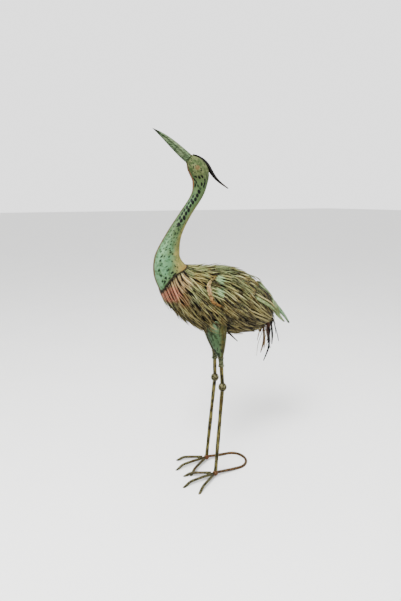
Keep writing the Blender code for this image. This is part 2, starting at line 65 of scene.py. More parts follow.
# The trunk's side view, as in the CAD source: front x, z, back x, z and half width, in millimetres
trunk = {
    "rows": [
        (86, 973, 67, 992, 11), (82, 967, 41, 983, 17), (79, 953, 22, 966, 22),
        (71, 937, 14, 944, 22), (64, 922, 16, 923, 19), (67, 889, 31, 883, 15),
        (104, 837, 75, 822, 15), (144, 784, 103, 770, 19), (181, 724, 110, 721, 28),
        (188, 691, 105, 705, 34), (185, 656, 95, 693, 39), (168, 616, 88, 687, 44),
        (150, 590, 56, 679, 51), (119, 556, 9, 674, 61), (78, 519, -47, 669, 70),
        (21, 487, -98, 654, 73), (-59, 466, -144, 627, 68), (-126, 461, -180, 595, 57),
        (-173, 467, -211, 559, 41), (-212, 491, -234, 526, 20), (-232, 510, -233, 512, 1),
    ],
    "seamRow": 11,
    "shift": sum(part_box("foot-hub-" + side)[k].x for side in ("left", "right") for k in (0, 1)) / 4,
    "sweep": 0.018,  # how far the neck seam runs forward at the sides
    "fade": 0.13,
}
trunkRows = [[value / 1000 for value in row] for row in trunk["rows"]]
trunkPlaces = [0.0]
for p, q in zip(trunkRows, trunkRows[1:]):
    step = math.hypot((q[0] + q[2] - p[0] - p[2]) / 2, (q[1] + q[3] - p[1] - p[3]) / 2)
    trunkPlaces.append(trunkPlaces[-1] + step)
seamPlace = trunkPlaces[trunk["seamRow"]]
trunkLength = trunkPlaces[-1]
bodyLength = trunkLength - seamPlace


def smoothRow(rows, places, t):
    k = 0
    while k < len(rows) - 2 and t > places[k + 1]:
        k += 1
    span = places[k + 1] - places[k]
    u = (t - places[k]) / span
    a, b, c, d = rows[max(k - 1, 0)], rows[k], rows[k + 1], rows[min(k + 2, len(rows) - 1)]
    low = places[k + 1] - places[max(k - 1, 0)]
    high = places[min(k + 2, len(rows) - 1)] - places[k]
    value = []
    for i in range(len(b)):
        m, n = (c[i] - a[i]) / low * span, (d[i] - b[i]) / high * span
        value.append(b[i] + u * (m + u * (3 * (c[i] - b[i]) - 2 * m - n + u * (m + n - 2 * (c[i] - b[i])))))
    return value


def skin(t, angle):  # angle 0 is the back, a quarter turn the left side
    fade = max(0.0, 1.0 - abs(t - seamPlace) / trunk["fade"])
    t = min(max(t - trunk["sweep"] * fade * math.sin(angle) ** 2, 0.0), trunkLength)
    fx, fz, bx, bz, half = smoothRow(trunkRows, trunkPlaces, t)
    c, s = math.cos(angle), math.sin(angle)
    return Vector(((fx + bx) / 2 + c * (bx - fx) / 2 + trunk["shift"], s * half,
                   (fz + bz) / 2 + c * (bz - fz) / 2))


def skinNormal(t, angle):
    along = skin(min(t + 0.003, trunkLength), angle) - skin(t - 0.003, angle)
    around = skin(t, angle + 0.03) - skin(t, angle - 0.03)
    normal = around.cross(along)
    return normal.normalized() if normal.length > 1e-12 else Vector((-1, 0, 0))


class Sock:  # a socket whose sums become Math nodes
    def __init__(self, sheet, socket):
        self.sheet = sheet
        self.socket = socket

    def mathNode(self, kind, *others):
        return self.sheet.add("ShaderNodeMath", {"operation": kind}, dict(enumerate((self,) + others)))

    def __rsub__(self, other):
        return self.sheet.add("ShaderNodeMath", {"operation": "SUBTRACT"}, {0: other, 1: self})

    __add__ = __radd__ = partialmethod(mathNode, "ADD")
    __sub__ = partialmethod(mathNode, "SUBTRACT")
    __mul__ = __rmul__ = partialmethod(mathNode, "MULTIPLY")
    __truediv__ = partialmethod(mathNode, "DIVIDE")
    power = partialmethod(mathNode, "POWER")
    least = partialmethod(mathNode, "MINIMUM")
    most = partialmethod(mathNode, "MAXIMUM")
    size = partialmethod(mathNode, "ABSOLUTE")
    fraction = partialmethod(mathNode, "FRACT")
    floor = partialmethod(mathNode, "FLOOR")

    def ramp(self, low, high):  # 0 at low to 1 at high, smoothly
        return self.sheet.add("ShaderNodeMapRange", {"interpolation_type": "SMOOTHSTEP"},
                              {"Value": self, "From Min": low, "From Max": high})


class Sheet:  # one material and its nodes
    def __init__(self, name, roughness=0.5, metallic=0.5):
        self.material = bpy.data.materials.new(name)
        self.material.use_nodes = True
        self.nodes = self.material.node_tree.nodes
        self.links = self.material.node_tree.links
        self.shader = self.nodes["Principled BSDF"]
        self.shader.inputs["Roughness"].default_value = roughness
        self.shader.inputs["Metallic"].default_value = metallic
        self.colour = None
        self.column = 0

    def add(self, kind, settings=None, values=None, out=0):
        node = self.nodes.new(kind)
        self.column += 1
        node.location = (-220 * (self.column % 12) - 300, -260 * (self.column // 12))
        for key, value in (settings or {}).items():
            if key == "stops":
                stops = node.color_ramp.elements
                while len(stops) < len(value):
                    stops.new(0.5)
                for stop, (place, colour) in zip(stops, value):
                    stop.position = place
                    stop.color = (*colour, 1.0)
            else:
                setattr(node, key, value)
        for key, value in (values or {}).items():
            self.put(node.inputs[key], value)
        return Sock(self, node.outputs[out])

    def put(self, socket, value):
        if isinstance(value, Sock):
            self.links.new(value.socket, socket)
        elif isinstance(value, tuple) and len(value) == 3 and socket.type == "RGBA":
            socket.default_value = (*value, 1.0)
        else:
            socket.default_value = value

    def place(self):  # where on the object, in metres
        return self.add("ShaderNodeTexCoord", out=3)

    def axes(self, vector=None):
        split = self.add("ShaderNodeSeparateXYZ", None, {0: vector or self.place()})
        return [Sock(self, split.socket.node.outputs[k]) for k in range(3)]

    def uv(self):
        return self.axes(self.add("ShaderNodeUVMap"))[:2]

    def attribute(self, name):
        return self.add("ShaderNodeAttribute", {"attribute_name": name}, out=2)

    def scaled(self, x, y, z):
        return self.add("ShaderNodeMapping", None, {"Vector": self.place(), "Scale": (x, y, z)})

    def noise(self, scale, detail=3.0, rough=0.55, vector=None, distortion=0.0):
        return self.add("ShaderNodeTexNoise", None, {
            "Vector": vector or self.place(), "Scale": scale, "Detail": detail, "Roughness": rough,
            "Distortion": distortion})

    def flatCells(self, across, along, randomness=0.8):  # distance to the spots of a loose grid
        vector = self.add("ShaderNodeCombineXYZ", None, {0: across, 1: along})
        return self.add("ShaderNodeTexVoronoi", {"voronoi_dimensions": "2D"},
                        {"Vector": vector, "Scale": 1.0, "Randomness": randomness})

    def mix(self, factor, a, b):
        made = self.add("ShaderNodeMix", {"data_type": "RGBA", "clamp_factor": True}, {0: factor, 6: a, 7: b})
        return Sock(self, made.socket.node.outputs[2])

    def coat(self, factor, paint):  # lays a paint over the sheet's colour
        self.colour = self.mix(factor, self.colour, paint)

    def colours(self, value, *stops):
        return self.add("ShaderNodeValToRGB", {"stops": stops}, {0: value})

    def folded(self):  # the place with its y made positive, so that both flanks get the same patches
        x, y, z = self.axes()
        return self.add("ShaderNodeCombineXYZ", None, {0: x, 1: y.size(), 2: z})

    def vectorMath(self, kind, *values, out=0):
        return self.add("ShaderNodeVectorMath", {"operation": kind}, dict(enumerate(values)), out)

    # 1 inside the inner reach of a point, 0 past the outer
    def near(self, point, inner, outer, warp=None, stretch=(1, 1, 1), vector=None):
        vector = vector or self.place()
        if warp is not None:
            vector = self.vectorMath("ADD", vector, warp)
        away = self.vectorMath("SUBTRACT", vector, point)
        away = self.vectorMath("MULTIPLY", away, stretch)
        length = self.vectorMath("LENGTH", away, out=1)
        return length.ramp(outer, inner)

    def warp(self, scale, amount):  # a small shift of place, so that patches get ragged edges
        values = {"Vector": self.place(), "Scale": scale, "Detail": 3.0}
        noise = self.add("ShaderNodeTexNoise", None, values, out=1)
        noise = self.vectorMath("SUBTRACT", noise, (0.5, 0.5, 0.5))
        return self.add("ShaderNodeVectorMath", {"operation": "SCALE"}, {0: noise, "Scale": amount})

    def finish(self, roughness=None, metallic=None, height=None, strength=0.4, depth=0.0006, deepen=1.45):
        self.shader.inputs["Specular IOR Level"].default_value = 0.3
        self.put(self.shader.inputs["Base Color"],
                 self.add("ShaderNodeGamma", None, {"Color": self.colour, "Gamma": deepen}))
        if roughness is not None:
            self.put(self.shader.inputs["Roughness"], roughness)
        if metallic is not None:
            self.put(self.shader.inputs["Metallic"], metallic)
        if height is not None:
            values = {"Strength": strength, "Distance": depth, "Height": height}
            self.put(self.shader.inputs["Normal"], self.add("ShaderNodeBump", None, values))
        return self.material


palette = {  # colours that several paints share
    "verdigris": (0.205, 0.4, 0.235),
    "highlightVerdigris": (0.35, 0.6, 0.37),
    "deepOlive": (0.06, 0.052, 0.018),
    # near black; also the painted shade at strip roots, under the strips and between the thighs
    "sootAndShade": (0.014, 0.011, 0.008),
    "umber": (0.07, 0.045, 0.022),
}


# the rows of dashes down the neck: middle and half width from back to front, start and end along the neck
neckDashes = ((0.605, 0.088, 0.245, 0.57), (0.775, 0.076, 0.295, 0.53))


def neckPatina():
    s = Sheet("neckPatina", 0.55, 0.35)
    along, around = s.uv()  # along 0 at the beak to 1 at the seam; around 0 and 1 at the back
    side = 2 * around.least(1 - around)  # 0 at the back, 1 at the front line
    cloud = s.noise(14, 4, 0.6)
    fine = s.noise(85, 4, 0.65)
    grain = s.noise(420, 3, 0.6)
    s.colour = s.mix(cloud.ramp(0.38, 0.62), palette["verdigris"], (0.235, 0.31, 0.15))
    # painted highlight: the lower front of the neck is painted paler, where light falls on it
    pale = side.ramp(0.52, 0.86) * along.ramp(0.45, 0.9)
    s.coat(pale * (0.35 + cloud * 0.8), palette["highlightVerdigris"])
    s.coat(fine.ramp(0.44, 0.66) * 0.75, (0.11, 0.18, 0.08))
    s.coat(grain.ramp(0.52, 0.7) * 0.35, (0.42, 0.5, 0.34))
    s.coat(along.ramp(0.85, 0.6) * 0.38, (0.12, 0.2, 0.095))
    # the head is browner and darker
    head = along.ramp(0.24, 0.12)
    s.coat(head * 0.8, s.mix(fine.ramp(0.38, 0.62), (0.115, 0.145, 0.05), (0.34, 0.36, 0.185)))
    # ochre creeps up the back from the seam
    back = (side + (cloud - 0.5) * 0.26 - along * 0.1).ramp(0.46, 0.22) * along.ramp(0.2, 0.6)
    s.coat(back * 0.92, s.mix(fine.ramp(0.36, 0.64), (0.27, 0.27, 0.095), (0.58, 0.5, 0.2)))
    seam = along.ramp(0.9, 0.985) * side.ramp(0.62, 0.25)
    s.coat(seam * 0.7, (0.48, 0.33, 0.12))
    # brown weld line down the front
    throat = along.ramp(0.3, 0.22) * along.ramp(0.04, 0.14)
    weld = (side + (fine - 0.5) * 0.06 + throat * 0.04).ramp(0.94, 0.98)
    s.coat(weld * 0.85, s.mix(throat, (0.26, 0.15, 0.075), (0.36, 0.185, 0.095)))
    # two rows of slanted black dashes down each side
    ink = None
    for row, (centre, half, first, last) in enumerate(neckDashes):
        middle = centre + (along - 0.52).most(0.0) * 1.1
        across = (side - middle) / half
        step = along * 30.5 + 0.5 * row + across * 0.24
        unit = step.fraction() - 0.5
        vary = s.add("ShaderNodeTexWhiteNoise", {"noise_dimensions": "1D"}, {"W": step.floor() + 7.3 * row})
        reach = 0.7 + vary * 0.45
        off = (across + (vary - 0.5) * 0.8) / reach
        spot = (unit / 0.43).power(2.0) + off.power(2.0) + (fine - 0.5) * 1.3
        shown = spot.ramp(1.25, 0.9) * along.ramp(first, first + 0.02) * along.ramp(last + 0.04, last)
        ink = shown if ink is None else ink.most(shown)
    # bold strokes on the nape, small specks down to the seam
    nape = s.flatCells(side * 9.5 + along * 14.0 + (fine - 0.5) * 1.2, along * 25.0, 1.0).ramp(0.42, 0.28)
    nape = nape * along.ramp(0.148, 0.165) * along.ramp(0.255, 0.235)
    nape = nape * side.ramp(0.3, 0.38) * side.ramp(0.95, 0.88)
    loose = side * 11.0 + (cloud - 0.5) * 5.0
    speck = s.flatCells(loose, along * 36.0 + (fine - 0.5) * 0.8, 1.0).ramp(0.34, 0.16)
    speck = speck * (fine + cloud * 0.5).ramp(0.58, 0.76)
    speck = speck * along.ramp(0.5, 0.57) * side.ramp(0.34, 0.46) * side.ramp(0.93, 0.8)
    crown = s.flatCells(side * 13.0, along * 44.0).ramp(0.36, 0.22) * along.ramp(0.155, 0.12)
    crown = crown * fine.ramp(0.42, 0.55) * side.ramp(0.35, 0.5) * 0.85
    ink = ink.most(nape).most(speck * 0.88).most(crown)
    eye = s.near(tuple(eyePoint), 0.0038, 0.009, s.warp(140, 0.007), (1, 0, 1))
    s.coat(eye * 0.62, s.mix(fine, (0.3, 0.165, 0.075), (0.46, 0.3, 0.165)))
    s.coat(ink * (1 - eye * 0.7), (0.006, 0.012, 0.008))
    rim = along.ramp(0.985, 0.997)  # a dark seam line, with painted shade where the neck goes in under the body
    s.coat(rim * 0.9, palette["umber"])
    height = fine * 0.6 + grain * 0.4 + ink * -0.4
    return s.finish(0.62 - 0.22 * grain + 0.12 * cloud, 0.25 + 0.25 * fine, height, 0.35, 0.0008)


# a cut strip's colour for its tone, from dark over tan to cream
stripTones = (
    (0.0, (0.06, 0.045, 0.015)), (0.2, (0.21, 0.175, 0.058)), (0.4, (0.36, 0.285, 0.11)),
    (0.58, (0.47, 0.39, 0.165)), (0.72, (0.54, 0.52, 0.24)), (0.88, (0.7, 0.66, 0.37)),
    (1.0, (0.84, 0.8, 0.54)),
)


def stripPaint(name, shadow, patches):  # shadow is how dark the roots are
    s = Sheet(name, 0.5, 0.45)
    along, across = s.uv()
    z = s.axes()[2]
    tone = s.attribute("tone")
    zone = s.attribute("zone")
    edge = (across - 0.5).size() * 2.0
    cloud = s.noise(30, 3, 0.6)
    fine = s.noise(1.0, 4, 0.6, s.scaled(170, 420, 170))
    s.colour = s.colours(tone, *stripTones)
    green = (cloud + tone * 0.15 + (z - 0.6) * 0.9).ramp(0.48, 0.7)
    s.coat(green * 0.55, s.mix(fine, (0.2, 0.31, 0.125), (0.44, 0.54, 0.3)))
    # painted shade: the lower body is painted darker
    low = z.ramp(0.65, 0.51)
    s.coat(low * 0.76, s.mix(tone, (0.05, 0.038, 0.012), (0.46, 0.385, 0.175)))
    warp = s.warp(55, 0.018)
    folded = s.folded()
    for point, inner, outer, paint, share in patches:
        patch = s.near(point, inner, outer, warp, (1, 0.5, 1), folded) * share
        s.coat(patch, s.mix(tone * 0.9 + fine * 0.3, tuple(c * 0.45 for c in paint), paint))
    s.coat(zone * 0.85, s.mix(fine.ramp(0.38, 0.62), (0.185, 0.29, 0.135), (0.42, 0.57, 0.32)))
    # painted shade: the strip edges are darkened as the shadowed gaps between strips
    edgeShade = (edge + (fine - 0.5) * 0.4).ramp(0.5, 0.88)
    s.coat(edgeShade * 0.88, (0.032, 0.024, 0.009))
    # painted shade at the strip roots, where the row in front covers them
    root = along.ramp(0.15, 0.0)
    s.coat(root * shadow, palette["sootAndShade"])
    tip = (along + (fine - 0.5) * 0.3).ramp(0.86, 1.08)
    s.coat(tip * 0.45, palette["umber"])
    streak = fine.ramp(0.57, 0.7)
    s.coat(streak * 0.6, (0.07, 0.05, 0.02))
    # painted highlight: a pale line along the middle of each strip, where its ridge catches light
    ridgeHighlight = edge.ramp(0.34, 0.1) * fine.ramp(0.42, 0.58)
    s.coat(ridgeHighlight * 0.35, (0.86, 0.82, 0.56))
    return s.finish(0.42 + 0.3 * fine, 0.25 + 0.25 * (1 - cloud), fine, 0.35, 0.0007)


def strandPaint():  # the hanging strips; tone 0 is black, 1 pale
    s = Sheet("strandPaint", 0.5, 0.3)
    along = s.uv()[0]
    tone = s.attribute("tone")
    fine = s.noise(160, 4, 0.6)
    s.colour = s.colours(tone, (0.0, (0.02, 0.014, 0.01)), (0.5, (0.16, 0.075, 0.04)),
                         (1.0, (0.52, 0.42, 0.26)))
    s.coat(along.ramp(0.35, 0.05) * 0.8, (0.085, 0.035, 0.022))
    s.coat(fine.ramp(0.48, 0.7) * 0.6, (0.03, 0.02, 0.012))
    return s.finish(0.4 + 0.3 * fine, None, fine, 0.35, 0.0005)


def bodyShade():
    s = Sheet("bodyShade", 0.8, 0.2)
    cloud = s.noise(40, 3)
    s.colour = s.mix(cloud.ramp(0.35, 0.65), palette["sootAndShade"], (0.045, 0.034, 0.016))
    return s.finish(0.75 + 0.15 * cloud, None, cloud, 0.3)


def beakPatina():
    s = Sheet("beakPatina", 0.5, 0.4)
    x = s.axes()[0]
    low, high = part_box("beak")
    along = (x - low.x) / (high.x - low.x)
    cloud = s.noise(22, 3)
    streak = s.noise(1.0, 4, 0.6, s.add("ShaderNodeMapping", None, {
        "Vector": s.place(), "Rotation": (0, 0.6, 0), "Scale": (22, 380, 380)}))
    s.colour = s.mix(streak.ramp(0.4, 0.6), (0.07, 0.105, 0.05), (0.3, 0.4, 0.245))
    s.coat(cloud.ramp(0.45, 0.7) * 0.5, (0.38, 0.44, 0.28))
    mouth = s.attribute("groove")
    s.coat(mouth * 0.85, (0.022, 0.045, 0.016))
    tip = (along + (streak - 0.5) * 0.1).ramp(0.74, 0.99)
    s.coat(tip * 0.95, (0.018, 0.014, 0.01))
    root = (along + (streak - 0.5) * 0.05).ramp(0.1, 0.0)
    s.coat(root * 0.8, (0.34, 0.235, 0.12))
    return s.finish(0.4 + 0.25 * streak, 0.35, streak * 0.7 + cloud * 0.3, 0.3, 0.0006)


def plumePaint():
    s = Sheet("plumePaint", 0.45, 0.3)
    x = s.axes()[0]
    low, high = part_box("crest-plume")
    along = (high.x - x) / (high.x - low.x)
    streak = s.noise(1.0, 4, 0.6, s.scaled(120, 500, 120))
    s.colour = s.mix(streak.ramp(0.4, 0.7), palette["sootAndShade"], (0.045, 0.032, 0.022))
    s.coat((along + (streak - 0.5) * 0.4).ramp(0.62, 1.0) * 0.8, (0.16, 0.13, 0.1))
    return s.finish(0.35 + 0.3 * streak, None, streak, 0.4)


def thighPatina():
    s = Sheet("thighPatina", 0.5, 0.4)
    x, y, z = s.axes()
    cloud = s.noise(20, 4, 0.6)
    fine = s.noise(95, 4, 0.6)
    middle = sum((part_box("thigh-left")[k].x for k in (0, 1))) / 2
    rear = (x * -1.0 + (middle - 0.004) + (z - 0.42) * 0.18 + (cloud - 0.5) * 0.02).ramp(-0.006, 0.012)
    s.colour = s.mix(cloud.ramp(0.38, 0.68), (0.18, 0.28, 0.155), (0.33, 0.46, 0.3))
    s.coat(rear * 0.92, s.mix(cloud, (0.13, 0.11, 0.024), (0.25, 0.205, 0.06)))
    stroke = s.noise(1.0, 4, 0.6, s.scaled(130, 130, 24), 0.4).ramp(0.52, 0.6)
    low = z.ramp(0.47, 0.42)
    s.coat(stroke * (0.55 + low * 0.42), (0.02, 0.02, 0.009))
    s.coat(fine.ramp(0.48, 0.66) * 0.75, (0.06, 0.085, 0.03))
    pale = s.noise(1.0, 3, 0.6, s.scaled(70, 70, 34)).ramp(0.56, 0.7)
    s.coat(pale * 0.45, (0.42, 0.5, 0.33))
    foot = z.ramp(0.408, 0.398)
    s.coat(foot * 0.7, (0.2, 0.13, 0.05))
    # painted shade between the thighs, near their tops under the body
    inner = y.size().ramp(0.036, 0.02) * z.ramp(0.425, 0.47)
    s.coat(inner * 0.75, palette["sootAndShade"])
    return s.finish(0.5 + 0.2 * fine, 0.3, fine, 0.35, 0.0008)


def rodPaint(name, base, light, rust, sheen=0.5, stretch=1.0):  # a low stretch draws the grain out
    s = Sheet(name, 0.45, sheen)
    cloud = s.noise(28, 4, 0.6)
    fine = s.noise(210, 4, 0.6, s.scaled(1.0, 1.0, stretch))
    s.colour = s.mix(fine.ramp(0.36, 0.66), base, light)
    s.coat(cloud.ramp(0.5, 0.68) * 0.8, rust)
    s.coat(s.noise(60, 3).ramp(0.6, 0.72) * 0.6, palette["sootAndShade"])
    return s.finish(0.36 + 0.3 * fine, None, fine * 0.7 + cloud * 0.3, 0.35, 0.0005)


def bladeSheet(name, scale, dark, light):  # the streaked ground of a tail blade
    s = Sheet(name, 0.45, 0.4)
    along, across = s.uv()
    fine = s.noise(1.0, 4, 0.6, s.scaled(260, 260, 120))
    s.colour = s.mix(s.noise(scale, 4, 0.6).ramp(0.35, 0.65), dark, light)
    return s, along, (across - 0.5).size() * 2.0, fine


def bladePaint():
    s, along, edge, fine = bladeSheet("bladePaint", 26, (0.24, 0.4, 0.215), (0.5, 0.66, 0.46))
    s.coat(fine.ramp(0.5, 0.62) * 0.7, (0.1, 0.14, 0.055))
    s.coat((edge + (fine - 0.5) * 0.25).ramp(0.86, 0.97) * 0.8, (0.5, 0.33, 0.15))
    s.coat(along.ramp(0.9, 0.985), palette["sootAndShade"])
    s.coat(along.ramp(0.12, 0.0) * 0.6, (0.5, 0.44, 0.2))
    return s.finish(0.4 + 0.25 * fine, 0.35, fine, 0.35, 0.0006)


def sideBladePaint():
    s, along, edge, fine = bladeSheet("sideBladePaint", 30, (0.24, 0.28, 0.12), (0.42, 0.52, 0.31))
    # painted highlight: a tan line along the blade's edges, where its top edge catches light
    s.coat((edge + (fine - 0.5) * 0.2).ramp(0.8, 0.95) * 0.9, (0.7, 0.46, 0.2))
    s.coat(fine.ramp(0.55, 0.75) * 0.6, palette["deepOlive"])
    s.coat(along.ramp(0.86, 1.0) * 0.8, palette["umber"])
    return s.finish(0.4 + 0.25 * fine, 0.35, fine, 0.35, 0.0006)


def wingRimPaint():
    s = Sheet("wingRimPaint", 0.5, 0.35)
    z = s.axes()[2]
    low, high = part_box("wing-left-edge")
    fine = s.noise(150, 4, 0.6)
    height = ((z - low.z) / (high.z - low.z) + (fine - 0.5) * 0.25)
    s.colour = s.colours(
        height, (0.0, (0.22, 0.155, 0.055)), (0.14, (0.44, 0.25, 0.09)), (0.32, (0.54, 0.35, 0.165)),
        (0.52, (0.7, 0.52, 0.33)), (0.76, (0.58, 0.46, 0.26)), (1.0, (0.33, 0.3, 0.13)))
    s.coat(s.noise(70, 4).ramp(0.47, 0.55) * 0.65, (0.33, 0.22, 0.095))
    s.coat(s.noise(130, 4).ramp(0.53, 0.6) * 0.85, (0.1, 0.075, 0.028))
    s.coat(s.noise(100, 3).ramp(0.58, 0.66) * 0.6, (0.36, 0.41, 0.22))
    return s.finish(0.45 + 0.25 * fine, None, fine, 0.4, 0.0007)


def selectOnly(thing):
    bpy.ops.object.select_all(action="DESELECT")
    thing.select_set(True)
    bpy.context.view_layer.objects.active = thing


def dress(thing, material, slot, *nodes):
    thing.data.materials.clear()
    thing.data.materials.append(material)
    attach(thing, "root")
    if nodes:
        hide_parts(*nodes)


def newObject(name, data):
    thing = bpy.data.objects.new(name, data)
    bpy.context.scene.collection.objects.link(thing)
    return thing


def editWhole():
    bpy.ops.object.mode_set(mode="EDIT")
    bpy.ops.mesh.select_all(action="SELECT")


def leaveEdit():
    bpy.ops.object.mode_set(mode="OBJECT")


def faceOutward():
    editWhole()
    bpy.ops.mesh.normals_make_consistent(inside=False)
    leaveEdit()


def shadeUnder(degrees):
    bpy.ops.object.shade_smooth_by_angle(angle=math.radians(degrees))


# a CAD node's copy, merged and subdivided; flat ends stay sharp
def refined(node, name, levels=2, swell=0.0):
    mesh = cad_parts[node].data.copy()
    mesh.name = name
    thing = newObject(name, mesh)
    selectOnly(thing)
    editWhole()
    bpy.ops.mesh.remove_doubles(threshold=0.00002)
    bpy.ops.mesh.tris_convert_to_quads(face_threshold=0.7, shape_threshold=0.7)
    if swell:  # makes up for what subdividing takes off
        bpy.ops.transform.shrink_fatten(value=swell)
    bpy.ops.mesh.select_all(action="DESELECT")
    leaveEdit()
    shape = bmesh.new()
    shape.from_mesh(mesh)
    crease = shape.edges.layers.float.get("crease_edge") or shape.edges.layers.float.new("crease_edge")
    for edge in shape.edges:
        if len(edge.link_faces) == 2 and edge.calc_face_angle(0) > math.radians(62):
            edge[crease] = 1.0
    shape.to_mesh(mesh)
    shape.free()
    smooth = thing.modifiers.new("smooth", "SUBSURF")
    smooth.levels = levels
    smooth.render_levels = levels
    bpy.ops.object.modifier_apply(modifier="smooth")
    for vertex in mesh.vertices:  # nothing stands out past the CAD model's box
        vertex.co = [min(max(c, a), b) for c, a, b in zip(vertex.co, cadLow, cadHigh)]
    shadeUnder(50)
    return thing


def wrapGrid(name, start, stop, along, around):  # a grid bent round the trunk into a closed skin
    bpy.ops.object.select_all(action="DESELECT")
    bpy.ops.mesh.primitive_grid_add(x_subdivisions=along, y_subdivisions=around, size=1.0, calc_uvs=True,
                                    location=(0, 0, 0))
    thing = bpy.context.object
    thing.name = name
    thing.data.name = name
    for vertex in thing.data.vertices:
        vertex.co = skin(start + (vertex.co.x + 0.5) * (stop - start), (vertex.co.y + 0.5) * 2 * math.pi)
        vertex.co.x = min(vertex.co.x, cadHigh.x)
    editWhole()
    bpy.ops.mesh.remove_doubles(threshold=0.00001)
    bpy.ops.mesh.select_all(action="DESELECT")
    bpy.ops.mesh.select_non_manifold()
    bpy.ops.mesh.edge_face_add()
    leaveEdit()
    faceOutward()
    selectOnly(thing)
    shadeUnder(50)
    return thing


def slicedBar(sides, radius, cuts):  # a bar from 0 to 1 along x, cut across at some places
    bpy.ops.object.select_all(action="DESELECT")
    bpy.ops.mesh.primitive_cylinder_add(vertices=sides, radius=radius, depth=1.0, location=(0.5, 0, 0),
                                        rotation=(0, math.pi / 2, 0))
    thing = bpy.context.object
    bpy.ops.object.transform_apply(location=True, rotation=True, scale=True)
    bpy.ops.object.mode_set(mode="EDIT")
    for cut in cuts:
        bpy.ops.mesh.select_all(action="SELECT")
        bpy.ops.mesh.bisect(plane_co=(cut, 0, 0), plane_no=(1, 0, 0))
    leaveEdit()
    return thing


# one cut strip, 1 long: a flat diamond section that narrows from the shoulder to its end
def modelStrip(segments, shoulder, end=0.0):
    thing = slicedBar(4, 0.5, [(k / segments) ** 0.85 for k in range(1, segments)])
    mesh = thing.data
    for vertex in mesh.vertices:
        x = vertex.co.x
        taper = 1.0 if x < shoulder else end + (1 - end) * max(0.0, (1 - x) / (1 - shoulder)) ** 0.8
        width = max((0.72 + 0.28 * min(1.0, x / 0.3)) * taper, 0.02)
        vertex.co.y *= width
        vertex.co.z *= width
    editWhole()
    bpy.ops.mesh.remove_doubles(threshold=0.012)
    leaveEdit()
    faceOutward()
    layer = mesh.uv_layers[0]
    for loop in mesh.loops:
        point = mesh.vertices[loop.vertex_index].co
        layer.data[loop.index].uv = (point.x, 0.5 + point.y)
    points = [tuple(vertex.co) for vertex in mesh.vertices]
    faces = [tuple(face.vertices) for face in mesh.polygons]
    uvs = [tuple(layer.data[k].uv) for face in mesh.polygons for k in face.loop_indices]
    bpy.data.objects.remove(thing, do_unlink=True)
    return points, faces, uvs


class StripBed:  # gathers the bent copies of a strip into one piece
    def __init__(self, name, strip):
        self.name = name
        self.stripPoints, self.stripFaces, self.stripUvs = strip
        self.points, self.faces, self.uvs, self.tones, self.zones = [], [], [], [], []

    def lay(self, path, normals, width, thickness, tone, zone=0.0, roll=0.0):
        first = len(self.points)
        last = len(path) - 1
        for x, y, z in self.stripPoints:
            at = min(max(x, 0.0), 1.0) * last
            k = min(int(at), last - 1)
            u = at - k
            middle = path[k].lerp(path[k + 1], u)
            ahead = (path[k + 1] - path[k]).normalized()
            up = normals[k].lerp(normals[k + 1], u)
            side = up.cross(ahead).normalized()
            up = ahead.cross(side)
            if roll:
                c, s = math.cos(roll * x), math.sin(roll * x)
                side, up = side * c + up * s, up * c - side * s
            self.points.append(middle + side * (y * width) + up * (z * thickness))
        self.faces += [tuple(first + k for k in face) for face in self.stripFaces]
        self.uvs += self.stripUvs
        self.tones += [tone] * len(self.stripPoints)
        self.zones += [zone] * len(self.stripPoints)

    def make(self, material, slot, *nodes):
        mesh = bpy.data.meshes.new(self.name)
        mesh.from_pydata(self.points, [], self.faces)
        layer = mesh.uv_layers.new(name="UVMap")
        for k, uv in enumerate(self.uvs):
            layer.data[k].uv = uv
        mesh.attributes.new("tone", "FLOAT", "POINT").data.foreach_set("value", self.tones)
        mesh.attributes.new("zone", "FLOAT", "POINT").data.foreach_set("value", self.zones)
        thing = newObject(self.name, mesh)
        selectOnly(thing)
        shadeUnder(18)
        dress(thing, material, slot, *nodes)


# a bar bent along a path; widths are half widths at even steps
# lobes, turn and groove give it twisted grooves
def bendBar(name, path, normals, widths, thickness, sides=14, lobes=0, turn=0.0, groove=0.0):
    last = len(path) - 1
    thing = slicedBar(sides, 1.0, [k / last for k in range(1, last)])
    thing.name = name
    thing.data.name = name
    for vertex in thing.data.vertices:
        x, y, z = vertex.co
        k = min(max(round(x * last), 0), last)
        ahead = (path[min(k + 1, last)] - path[max(k - 1, 0)]).normalized()
        side = normals[k].cross(ahead).normalized()
        up = ahead.cross(side)
        fullness = 1 - groove * (0.5 + 0.5 * math.cos(lobes * math.atan2(z, y) + turn * x))
        vertex.co = path[k] + (side * (y * widths[k]) + up * (z * min(thickness / 2, widths[k]))) * fullness
    faceOutward()
    shadeUnder(55)
    return thing


def twistedBar(name, node):  # a smooth bar with shallow twisted grooves where the CAD rod stands
    points = [Vector(vertex.co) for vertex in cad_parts[node].data.vertices]
    high, low = max(p.z for p in points), min(p.z for p in points)
    ends = []
    for level in (high, low):
        ring = [p for p in points if abs(p.z - level) < 0.003]
        ends.append(sum(ring, Vector()) / len(ring))
    way = (ends[1] - ends[0]).normalized()
    radius = max((p - ends[0] - way * (p - ends[0]).dot(way)).length for p in points)
    path = [ends[0].lerp(ends[1], k / legs["rings"]) for k in range(legs["rings"] + 1)]
    length = (ends[1] - ends[0]).length
    radius *= legs["fullness"]
    count = len(path)
    return bendBar(name, path, [Vector((1, 0, 0))] * count, [radius] * count, radius * 2, legs["sides"],
                   legs["lobes"], length * legs["turn"], legs["groove"])


thigh = {
    "length": 0.126,
    "foot": 0.0172,  # diameter at the collar
    "spread": 0.0488,  # what it gains by the top
    "lean": 0.145,  # forwards, in radians
    "tilt": 0.05,  # towards the other thigh
    "aboveCollar": (0.003, 0, 0.016),
}


